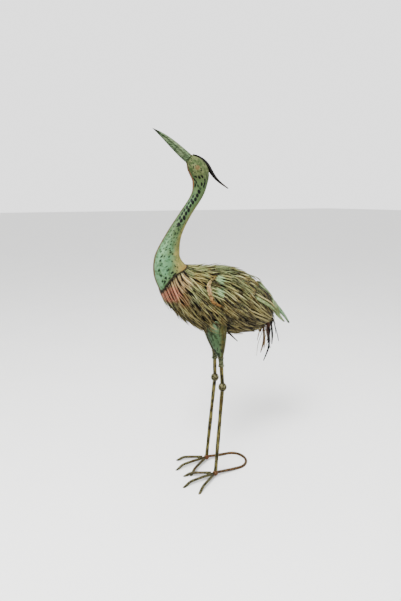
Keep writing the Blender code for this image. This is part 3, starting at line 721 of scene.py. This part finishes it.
def thighLine(side):
    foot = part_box("leg-collar-" + side)
    base = (foot[0] + foot[1]) / 2 + Vector(thigh["aboveCollar"])
    tilt = -thigh["tilt"] if side == "left" else thigh["tilt"]
    return base, Vector((math.sin(thigh["lean"]), tilt, math.cos(thigh["lean"]))).normalized()


thighs = [thighLine("left"), thighLine("right")]


def thighsBeside(point):  # each thigh's foot, the way up it to beside the point, and its radius there
    for base, lean in thighs:
        share = (point - base).dot(lean) / thigh["length"]
        if -0.05 < share < 1.1:
            spread = thigh["spread"] * math.sin(min(1.0, max(share, 0.0) * 1.15) * math.pi / 2)
            yield base, lean * (share * thigh["length"]), (thigh["foot"] + spread) / 2


def inThigh(point, margin):
    return any((point - base - up).length < radius + margin for base, up, radius in thighsBeside(point))


def offThighs(point, margin):  # moves a point that lies in a thigh out to its surface
    for base, up, radius in thighsBeside(point):
        away = point - (base + up)
        if 0 < away.length < radius + margin:
            return base + up + away.normalized() * (radius + margin)
    return point


# middle line and normals of a strip that starts s behind the seam and lifts off the skin
def overSkin(s, angle, length, drift, lift, rise, count, curl=0.0):
    path, normals = [], []
    for k in range(count + 1):
        u = k / count
        t = seamPlace + s + length * u
        a = angle + drift * u
        beyond = max(0.0, t - (trunkLength - 0.012))
        t = min(t, trunkLength - 0.012)
        normal = skinNormal(t, a)
        point = skin(t, a) + normal * (lift + rise * u + curl * u ** 3)
        if beyond:
            run = (skin(t, a) - skin(t - 0.01, a)).normalized()
            point += run * beyond
        path.append(offThighs(point, 0.0012 + 0.0016 * u))
        normals.append(normal)
    return path, normals


print("trunk form ready")

neck = {
    "along": 190,
    "around": 64,
    "eye": (0.096, 0.607),  # share of the neck's length, and of half a turn
}
eyePoint = skin(neck["eye"][0] * seamPlace, neck["eye"][1] * math.pi)
neckShell = wrapGrid("neck-shell", 0.0, seamPlace - 0.0002, neck["along"], neck["around"])
dress(neckShell, neckPatina(), "verdigris", "head-and-neck")
print("neck shell")

mouth = {
    "root": (0.0769, 0.982),  # x and z
    "tip": (0.184, 1.0545),
    "arch": 0.006,
    "drop": 0.0008,  # under the middle line, and what the root adds
    "rootDrop": 0.002,
    "half": 0.0016,  # half the line's height
    "span": (0.06, 0.93),
}
beak = refined("beak", "beak-blade", 2)
groove = beak.data.attributes.new("groove", "FLOAT", "POINT")
beakRoot, beakTip = (Vector((x + trunk["shift"], 0, z)) for x, z in (mouth["root"], mouth["tip"]))
beakWay = (beakTip - beakRoot).normalized()
for vertex in beak.data.vertices:
    share = (vertex.co - beakRoot).dot(beakWay) / (beakTip - beakRoot).length
    bow = mouth["arch"] * math.sin(math.pi * max(0.0, min(1.0, share))) * max(0.0, share)
    off = vertex.co - (beakRoot.lerp(beakTip, share) + Vector((-0.5, 0, 0.86)) * bow)
    height = off.dot(Vector((-beakWay.z, 0, beakWay.x)))
    line = -mouth["drop"] - mouth["rootDrop"] * (1 - share)
    if mouth["span"][0] < share < mouth["span"][1]:
        groove.data[vertex.index].value = max(0.0, 1 - abs(height - line) / mouth["half"])
dress(beak, beakPatina(), "beak", "beak")
print("beak")

dress(refined("crest-plume", "crest-leaf", 2), plumePaint(), "dark-strip", "crest-plume")
print("crest")


def patchPlace(s, angle, lift=0.0):
    return tuple(skin(seamPlace + s, angle) + skinNormal(seamPlace + s, angle) * lift)


bodyStrips = {
    "pitch": 0.018,  # one row to the next
    "width": 0.0063,  # of a strip
    "widths": (0.6, 1.12),  # shares of it
    "spacing": 0.007,  # along the girth from one strip to the next
    "length": 0.052,
    "lengths": (0.65, 1.15),
    "thickness": 0.0022,
    "bare": 0.62,  # share of the loose second row left out
    "splay": 0.34,
    "lowFrom": 0.215,  # from here back the strips lie low, under the tail blades
    "tones": (0.32, 0.22, 0.18, 0.17, 0.11),
    "breastTips": (0.45, 0.003, 0.0095),  # share that sticks out, and how far
    "backTips": (0.25, 0.002, 0.0065),
    # patches: place, inner and outer reach, colour, share
    "patches": (
        (patchPlace(0.02, 1.98), 0.01, 0.034, (0.78, 0.52, 0.32), 0.8),
        (patchPlace(0.024, 1.6), 0.014, 0.034, (0.78, 0.58, 0.33), 0.8),
        (patchPlace(0.022, 2.45), 0.016, 0.031, (0.8, 0.385, 0.27), 0.92),
        (patchPlace(0.058, 2.25), 0.01, 0.026, (0.66, 0.32, 0.19), 0.5),
        (patchPlace(0.05, 1.1), 0.012, 0.03, (0.62, 0.48, 0.2), 0.6),
        (patchPlace(0.075, 1.95), 0.01, 0.024, (0.46, 0.52, 0.3), 0.6),
        (patchPlace(0.12, 0.55), 0.016, 0.04, (0.46, 0.56, 0.3), 0.6),
    ),
    # strips over the roots of the tail blades: start and end behind the seam, start and end angle,
    # width, tone, green, lift at the start and at the end
    "coverts": (
        (0.216, 0.303, 0.0, 0.0, 0.013, 0.45, 0.0, 0.003, 0.0158),
        (0.212, 0.298, 0.17, 0.18, 0.0105, 0.8, 0.0, 0.003, 0.0152),
        (0.262, 0.352, 0.5, 0.62, 0.021, 0.6, 1.0, 0.0055, 0.0125),
        (0.245, 0.356, 0.74, 0.88, 0.0065, 0.0, 0.0, 0.0075, 0.0145),
        (0.25, 0.356, 0.9, 1.04, 0.006, 0.05, 0.0, 0.007, 0.0145),
        (0.236, 0.348, 1.05, 1.2, 0.0068, 0.92, 0.0, 0.0085, 0.0215),
        (0.238, 0.352, 1.16, 1.33, 0.015, 0.62, 0.8, 0.008, 0.019),
    ),
}
strip = modelStrip(5, 0.5)
chance = random.Random(7)


def eitherWay(reach):
    return chance.uniform(-reach, reach)


def stripTone(shares):  # draws a tone; the shares are of dark, olive, brown, tan and cream strips
    level = chance.choices((0.04, 0.24, 0.46, 0.68, 0.92), shares)[0]
    return min(1.0, max(0.0, level + eitherWay(0.09)))


bodyRowMaterial = stripPaint("stripPaint", 0.75, bodyStrips["patches"])
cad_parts["body"].data.materials.clear()
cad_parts["body"].data.materials.append(bodyShade())
rowNodes = sorted(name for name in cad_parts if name.startswith("feather-row-"))
rowCount = int((bodyLength - 0.01) / bodyStrips["pitch"])
perNode = rowCount / len(rowNodes)
beds = [StripBed(name.replace("feather-row", "strip-row"), strip) for name in rowNodes]
for k in range(rowCount):
    start = 0.0012 + k * bodyStrips["pitch"]
    bed = beds[min(int(k / perNode), len(rowNodes) - 1)]
    girth = sum((skin(seamPlace + start, a) - skin(seamPlace + start, a + math.pi / 12)).length
                for a in (math.pi * j / 12 for j in range(24)))
    radius = girth / (2 * math.pi)
    count = max(8, round(girth / bodyStrips["spacing"]))
    for j in range(count * 2):  # a full row, and a sparse second one that lies loosely over it
        loose = j >= count
        if loose and (chance.random() < bodyStrips["bare"] or k == 0 or start > bodyStrips["lowFrom"]):
            continue
        angle = 2 * math.pi * (j + (0.5 if k % 2 else 0.0) + eitherWay(0.3)) / count
        s = start + eitherWay(0.5) * bodyStrips["pitch"] * (0.05 if k == 0 else 1)
        length = bodyStrips["length"] * chance.uniform(*bodyStrips["lengths"])
        droop = math.sin(angle) * (0.55 + 0.45 * math.sin(angle) ** 2)  # strips lean down the flanks
        ruffle = 0.17 + 0.17 * (k > 1 and math.cos(angle) > 0.2 and s < 0.2)
        drift = (droop * bodyStrips["splay"] + eitherWay(ruffle)) * length / radius
        stop = bodyLength - 0.006
        if s > stop - 0.018:
            continue
        length = min(length, stop - s)
        lift = 0.0008 + (0.0012 if loose else 0.0) + 0.0006 * chance.random()
        rise = 0.003 + 0.002 * chance.random()
        tips = bodyStrips["breastTips" if math.cos(angle) < -0.3 and s < 0.22 else "backTips"]
        if chance.random() < tips[0]:  # loose tips make the back and breast spiky
            rise += chance.uniform(*tips[1:])
        low = 0.0
        if math.cos(angle) > -0.6:
            low = min(1.0, max(0.0, (s + length * 0.6 - bodyStrips["lowFrom"]) / 0.04))
        rise += (0.001 - rise) * low
        if inThigh(skin(seamPlace + s, angle), 0.001):
            continue
        path, normals = overSkin(s, angle, length, drift, lift, rise, 5,
                                 0.0022 * chance.random() * (1 - low))
        tone = stripTone(bodyStrips["tones"])
        width = bodyStrips["width"] * (chance.uniform(*bodyStrips["widths"]) if k else 1.25)
        bed.lay(path, normals, width, bodyStrips["thickness"], tone, 0.0, eitherWay(0.5))
for s, stop, angle, lastAngle, width, tone, green, lift, lastLift in bodyStrips["coverts"]:
    for side in ((1, -1) if angle else (1,)):
        path, normals = [], []
        for k in range(9):
            u = k / 8
            t, a = seamPlace + s + (stop - s) * u, side * (angle + (lastAngle - angle) * u)
            up = min(1.0, u / 0.72)
            path.append(skin(t, a) + skinNormal(t, a) * (lift + (lastLift - lift) * up * up * (3 - 2 * up)))
            normals.append(skinNormal(t, a))
        beds[-2].lay(path, normals, width, bodyStrips["thickness"], tone, green)
for bed, node in zip(beds, rowNodes):
    bed.make(bodyRowMaterial, "feathers", node)
print("body strips", sum(len(bed.faces) for bed in beds), "faces")

wing = {
    "front": 0.0791,  # the strips' start behind the seam, at the crown angle
    "crown": 1.19,
    "sweep": 0.0283,  # how far back the front runs half a radian off the crown
    "low": 0.84,  # the angles the strips span
    "high": 1.8,
    "rows": 6,
    "pitch": 0.0335,
    "width": 0.007,
    "widths": (0.58, 1.1),
    "spacing": 0.0068,
    "length": 0.074,
    "lengths": (0.75, 1.1),
    "thickness": 0.0024,
    "bed": 0.0066,  # height over the skin, and what the first row adds
    "firstBed": 0.005,
    "bare": 0.4,  # share of the loose second rows left out
    "tones": (0.32, 0.2, 0.18, 0.17, 0.13),
    "endTones": (0.28, 0.16, 0.14, 0.16, 0.26),
    # the front edge: places behind the seam and angles it runs through, and its half widths there
    "edge": ((0.0858, 0.942), (0.0796, 1.113), (0.0795, 1.26), (0.083, 1.366), (0.09, 1.47),
             (0.098, 1.58), (0.106, 1.669), (0.115, 1.747), (0.131, 1.77), (0.153, 1.763)),
    "edgeWidths": (0.001, 0.0036, 0.0054, 0.0066, 0.0074, 0.007, 0.0058, 0.0048, 0.0038, 0.001),
    "edgeSteps": 36,
    "edgeLift": 0.01,
    "edgeThickness": 0.0044,
    "greenLeaves": ((0.09, 0.88), (0.0885, 0.96), (0.0895, 1.04), (0.099, 1.31), (0.102, 1.38),
                    (0.105, 1.45)),
    "leafWidth": 0.0092,
    # how far back the strips may reach at an angle, so that the tail blades show
    "reach": ((1.12, 0.236), (1.23, 0.246), (1.39, 0.29), (1.48, 0.324), (1.6, 0.378)),
    # patches: place, inner and outer reach, colour, share
    "patches": (
        (patchPlace(0.101, 0.98, 0.008), 0.009, 0.019, (0.5, 0.68, 0.42), 0.95),
        (patchPlace(0.118, 1.4, 0.008), 0.008, 0.018, (0.5, 0.68, 0.42), 0.95),
        (patchPlace(0.15, 1.15, 0.008), 0.01, 0.03, (0.62, 0.55, 0.26), 0.5),
    ),
}
wingMaterial = stripPaint("wingPaint", 0.6, wing["patches"])


def wingBow(angle):
    return wing["sweep"] * ((abs(angle) - wing["crown"]) / 0.5) ** 2


def wingReach(angle):
    if angle <= wing["reach"][0][0]:
        return wing["reach"][0][1]
    for (a, p), (b, q) in zip(wing["reach"], wing["reach"][1:]):
        if angle < b:
            return p + (q - p) * (angle - a) / (b - a)
    return wing["reach"][-1][1]


for side, name in ((1, "left"), (-1, "right")):
    wingBeds = [StripBed(f"wing-{name}-strips-{k + 1}", strip) for k in range(4)]
    for k in range(wing["rows"]):
        bed = wingBeds[min(k * 4 // wing["rows"], 3)]
        start = wing["front"] + 0.0035 + k * wing["pitch"]
        high = wing["high"] - (0.12 if k == 0 else 0.0)
        count = round((high - wing["low"]) * 0.066 / wing["spacing"])
        for j in range(count * 2):
            loose = j >= count
            if loose and (k == 0 or chance.random() < wing["bare"]):
                continue
            step = j % count + (0.5 if k % 2 else 0.0) + eitherWay(0.25)
            a = wing["low"] + (high - wing["low"]) * step / count
            s = start + wingBow(a) + eitherWay(0.35) * wing["pitch"] * (k > 0)
            length = wing["length"] * chance.uniform(*wing["lengths"]) * (0.7 if k == 0 else 1)
            if k == wing["rows"] - 1 or (k == wing["rows"] - 2 and a > 1.35):
                length *= 1.25
            drift = (0.16 + eitherWay(0.07)) * length / 0.07 * (1 if k else 0.2)
            length = min(length, wingReach(a + drift * 0.8) - s)
            if length < 0.026:
                continue
            drift *= side
            bedLift = wing["bed"] + (0.0012 if loose else 0.0) + (0.0 if k else wing["firstBed"])
            rise = 0.0032 * chance.uniform(0.6, 1.5)
            path, normals = overSkin(s, side * a, length, drift, bedLift, rise, 5, 0.0018 * chance.random())
            tone = stripTone(wing["tones"] if k < 4 else wing["endTones"])
            width = wing["width"] * chance.uniform(*wing["widths"])
            bed.lay(path, normals, width, wing["thickness"], tone, 0.0, eitherWay(0.4))
    for s, a in wing["greenLeaves"]:  # broader green strips just behind the front edge
        path, normals = overSkin(s, side * a, chance.uniform(0.024, 0.034), side * 0.08, 0.0116, 0.0012, 6)
        wingBeds[0].lay(path, normals, wing["leafWidth"], wing["thickness"], chance.uniform(0.3, 0.8),
                        chance.uniform(0.7, 1.0))
    for k, bed in enumerate(wingBeds):
        bed.make(wingMaterial, "feathers", f"wing-{name}-row-{k + 1}")
    places = [k * 1.0 for k in range(len(wing["edge"]))]
    rows = [(*row, half) for row, half in zip(wing["edge"], wing["edgeWidths"])]
    path, normals, widths = [], [], []
    for k in range(wing["edgeSteps"] + 1):
        s, a, half = smoothRow(rows, places, places[-1] * k / wing["edgeSteps"])
        normals.append(skinNormal(seamPlace + s, side * a))
        path.append(skin(seamPlace + s, side * a) + normals[-1] * wing["edgeLift"])
        widths.append(max(half * (0.92 + 0.16 * chance.random()), 0.0006))
    rim = bendBar(f"wing-{name}-rim", path, normals, widths, wing["edgeThickness"])
    dress(rim, wingRimPaint(), "wing-edge", f"wing-{name}-edge")
print("wings")

for part, paint in (("middle", bladePaint), ("left", sideBladePaint), ("right", sideBladePaint)):
    node = "tail-blade-" + part
    leaf = refined(node, "tail-leaf-" + part, 2)
    low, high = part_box(node)
    layer = leaf.data.uv_layers[0] if leaf.data.uv_layers else leaf.data.uv_layers.new(name="UVMap")
    way = (Vector((low.x, 0, low.z)) - Vector((high.x, 0, high.z)))
    middleY = (low.y + high.y) / 2
    for loop in leaf.data.loops:
        co = leaf.data.vertices[loop.vertex_index].co
        along = (Vector((co.x, 0, co.z)) - Vector((high.x, 0, high.z))).dot(way) / way.length_squared
        layer.data[loop.index].uv = (along, 0.5 + (co.y - middleY) / (high.y - low.y))
    dress(leaf, paint(), "verdigris", node)
print("tail blades")

legs = {
    "rings": 60,
    "sides": 32,
    "fullness": 1.05,
    "lobes": 4,
    "turn": 46.0,  # radians for each metre
    "groove": 0.11,
    # how far the round parts are blown up before they are subdivided
    "swell": {"toe": 0.0009, "loop": 0.0009, "ball": 0.001, "hub": 0.0006, "collar": 0.0007},
    # dark, light and rusty colour, sheen and stretch of the grain
    "paint": {
        "leg": ((0.055, 0.048, 0.016), (0.4, 0.36, 0.16), (0.165, 0.125, 0.042), 0.5, 0.18),
        "toe": ((0.06, 0.056, 0.026), (0.27, 0.25, 0.135), (0.15, 0.1, 0.045), 0.5),
        "loop": ((0.095, 0.062, 0.032), (0.32, 0.225, 0.13), (0.19, 0.095, 0.04), 0.5),
        "ball": ((0.085, 0.078, 0.04), (0.36, 0.34, 0.21), (0.07, 0.052, 0.024), 0.75),
        "hub": ((0.15, 0.085, 0.038), (0.36, 0.235, 0.13), (0.21, 0.085, 0.035), 0.4),
        "collar": ((0.075, 0.085, 0.045), (0.3, 0.32, 0.19), (0.12, 0.07, 0.03), 0.5),
    },
}
legPaints = {part: rodPaint(part + "Paint", *values) for part, values in legs["paint"].items()}
thighMaterial = thighPatina()


def roundPart(node, name, part):  # a CAD node's rounded copy in the paint of its part
    dress(refined(node, name, 2, legs["swell"][part]), legPaints[part], "rod", node)


for side in ("left", "right"):
    dress(refined(f"thigh-{side}", f"thigh-cone-{side}", 1), thighMaterial, "verdigris", f"thigh-{side}")
    roundPart(f"leg-collar-{side}", f"collar-{side}", "collar")
    for part in ("upper", "lower"):
        rod = f"{part}-rod-{side}"
        dress(twistedBar(f"{part}-bar-{side}", rod), legPaints["leg"], "rod", rod)
    roundPart(f"knee-ball-{side}", f"knee-{side}", "ball")
    roundPart(f"foot-hub-{side}", f"hub-{side}", "hub")
    for toe in ("inner", "middle", "outer"):
        roundPart(f"toe-{side}-{toe}", f"toe-rod-{side}-{toe}", "toe")
roundPart("foot-loop", "loop-rod", "loop")
print("legs and feet")

tailStrips = {
    # each strip's end in millimetres, and how far it bows back at a third and two thirds of its way
    "ends": ((-187, -17, 357, 12, 0), (-240, -13, 376, -4, -7), (-196, -8, 369, 9, 10),
             (-206, -3, 340, 8, 15), (-202, 3, 386, 2, 3), (-230, 8, 398, 4, 3),
             (-204, 13, 414, -4, 5), (-250, 18, 408, 3, 1)),
    "width": (0.005, 0.0046, 0.005, 0.0058, 0.0042, 0.0048, 0.0044, 0.005),
    "thickness": 0.002,
    "shares": (1.4, 1.7, 1.5, 1.0),  # of that width, for the strip and the finer ones beside it
    "tones": (0.85, 0.35, 0.55, 0.0, 0.75, 0.1, 0.4, 0.0),  # 0 black to 1 pale
}
strand = modelStrip(10, 0.7, 0.35)
strandMaterial = strandPaint()
darkPaint = rodPaint("darkPaint", (0.022, 0.015, 0.01), (0.085, 0.055, 0.03), (0.07, 0.032, 0.016), 0.3)
shiftLine = Vector((trunk["shift"], 0, 0))
rumpPlace = seamPlace + bodyLength * 0.985 / 15 * 14
rumpTip = skin(trunkLength, 0.0)
for k, (endX, endY, endZ, bow, lowBow) in enumerate(tailStrips["ends"]):
    bed = StripBed(f"tail-strip-{k + 1}-wires", strand)
    place = math.pi - (k - 3.5) * 0.3
    start = skin(rumpPlace, place).lerp(rumpTip, 0.72 if k % 2 else 0.3)
    end = Vector((endX, endY, endZ)) / 1000 + shiftLine
    for extra, widthShare in enumerate(tailStrips["shares"]):
        shift = Vector((eitherWay(4), eitherWay(4), chance.uniform(0, 4))) / 1000
        root = start + shift * (extra > 0)
        share = (0.4 if extra < 3 else chance.uniform(0.55, 0.85)) if extra else 1.0
        shift = Vector((eitherWay(8), eitherWay(5), eitherWay(4))) / 1000
        tip = start.lerp(end, share) + shift * (extra > 0)
        route = [root + Vector((0.003, 0, 0.006)), root + Vector((0, 0, -0.002)),
                 root.lerp(tip, 0.35) + Vector((-bow / 1000 * share, 0, 0)),
                 root.lerp(tip, 0.7) + Vector((-lowBow / 1000 * share, 0, 0)), tip]
        places = [0.0]
        for a, b in zip(route, route[1:]):
            places.append(places[-1] + (b - a).length)
        for m in (2, 3):
            shift = Vector((eitherWay(4), eitherWay(3), 0)) / 1000
            route[m] += shift * (1.0 if extra else 0.5)
        rows = [tuple(point) for point in route]
        path = [Vector(smoothRow(rows, places, places[-1] * m / 12)) for m in range(13)]
        normals = [Vector((-0.4, 1, 0.1)).normalized()] * 13
        tone = max(0.0, min(1.0, tailStrips["tones"][k] + eitherWay(0.15)))
        bed.lay(path, normals, tailStrips["width"][k] * widthShare, tailStrips["thickness"], tone, 0.0,
                eitherWay(1.6))
    bed.make(strandMaterial, "dark-strip", f"tail-strip-{k + 1}")
dress(refined("belly-strip", "belly-strip-wire", 1, 0.0012), darkPaint, "dark-strip", "belly-strip")
print("tail strips")

stageLook = {
    "floorSize": 60,
    "floor": ((0.86, 0.86, 0.85), (0.9, 0.9, 0.89)),
    "floorSun": 2.4,
    "sunSpread": 1.3,
    "sky": (1.0, 1.0, 1.0),
    "skyStrength": 0.85,  # on the figure
    "backdropStrength": 2.2,  # as the camera sees it
    # name, place, size and watts
    "lamps": (("key", (1.5, 1.1, 2.7), 1.1, 115), ("fill", (-1.6, 1.6, 1.5), 1.6, 24)),
    "lampTarget": (0, 0, 0.5),
}
bpy.ops.object.select_all(action="DESELECT")
bpy.ops.mesh.primitive_plane_add(size=stageLook["floorSize"], location=(0, 0, -0.0002))
floor = bpy.context.object
floor.name = "floor"
s = Sheet("floorPaint", 0.9, 0.0)
s.colour = s.mix(s.noise(3, 2), *stageLook["floor"])
floor.data.materials.append(s.finish(deepen=1.0))
floor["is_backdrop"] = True
floor.visible_diffuse = False  # the bright floor throws no light up at the figure
floor.visible_glossy = False
floorGroup = bpy.data.collections.new("floorLight")
floorGroup.objects.link(floor)
sun = bpy.data.lights.new("floor-sun", "SUN")  # a soft light from above for the floor alone
sun.energy = stageLook["floorSun"]
sun.angle = stageLook["sunSpread"]
sunLamp = newObject("floor-sun", sun)
sunLamp.location = (0, 0, 4)
sunLamp.light_linking.receiver_collection = floorGroup
world = bpy.data.worlds.new("studio")
world.use_nodes = True
nodes, link = world.node_tree.nodes, world.node_tree.links.new
sky, backdrop = nodes["Background"], nodes.new("ShaderNodeBackground")
for shader, strength in ((sky, "skyStrength"), (backdrop, "backdropStrength")):
    shader.inputs["Color"].default_value = (*stageLook["sky"], 1.0)
    shader.inputs["Strength"].default_value = stageLook[strength]
seen, blend = nodes.new("ShaderNodeLightPath"), nodes.new("ShaderNodeMixShader")
link(seen.outputs["Is Camera Ray"], blend.inputs[0])
link(sky.outputs[0], blend.inputs[1])
link(backdrop.outputs[0], blend.inputs[2])
link(blend.outputs[0], nodes["World Output"].inputs["Surface"])
bpy.context.scene.world = world
for name, place, size, energy in stageLook["lamps"]:
    light = bpy.data.lights.new(name, "AREA")
    light.size = size
    light.energy = energy
    lamp = newObject(name, light)
    lamp.location = place
    lamp.rotation_mode = "QUATERNION"
    lamp.rotation_quaternion = (Vector(stageLook["lampTarget"]) - Vector(place)).to_track_quat("-Z", "Y")

shot = {"place": (0.7405, 1.1521, 0.8743), "turn": (-0.486, -0.8739), "pitch": 0.2226, "lens": 27.0}
camera = newObject("camera", bpy.data.cameras.new("camera"))
camera.data.sensor_width = 36
camera.data.lens = shot["lens"]
camera.location = shot["place"]
level = math.cos(shot["pitch"])
look = Vector((shot["turn"][0] * level, shot["turn"][1] * level, -math.sin(shot["pitch"])))
camera.rotation_mode = "QUATERNION"
camera.rotation_quaternion = look.to_track_quat("-Z", "Y")
bpy.context.scene.camera = camera
print("stage")

low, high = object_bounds()
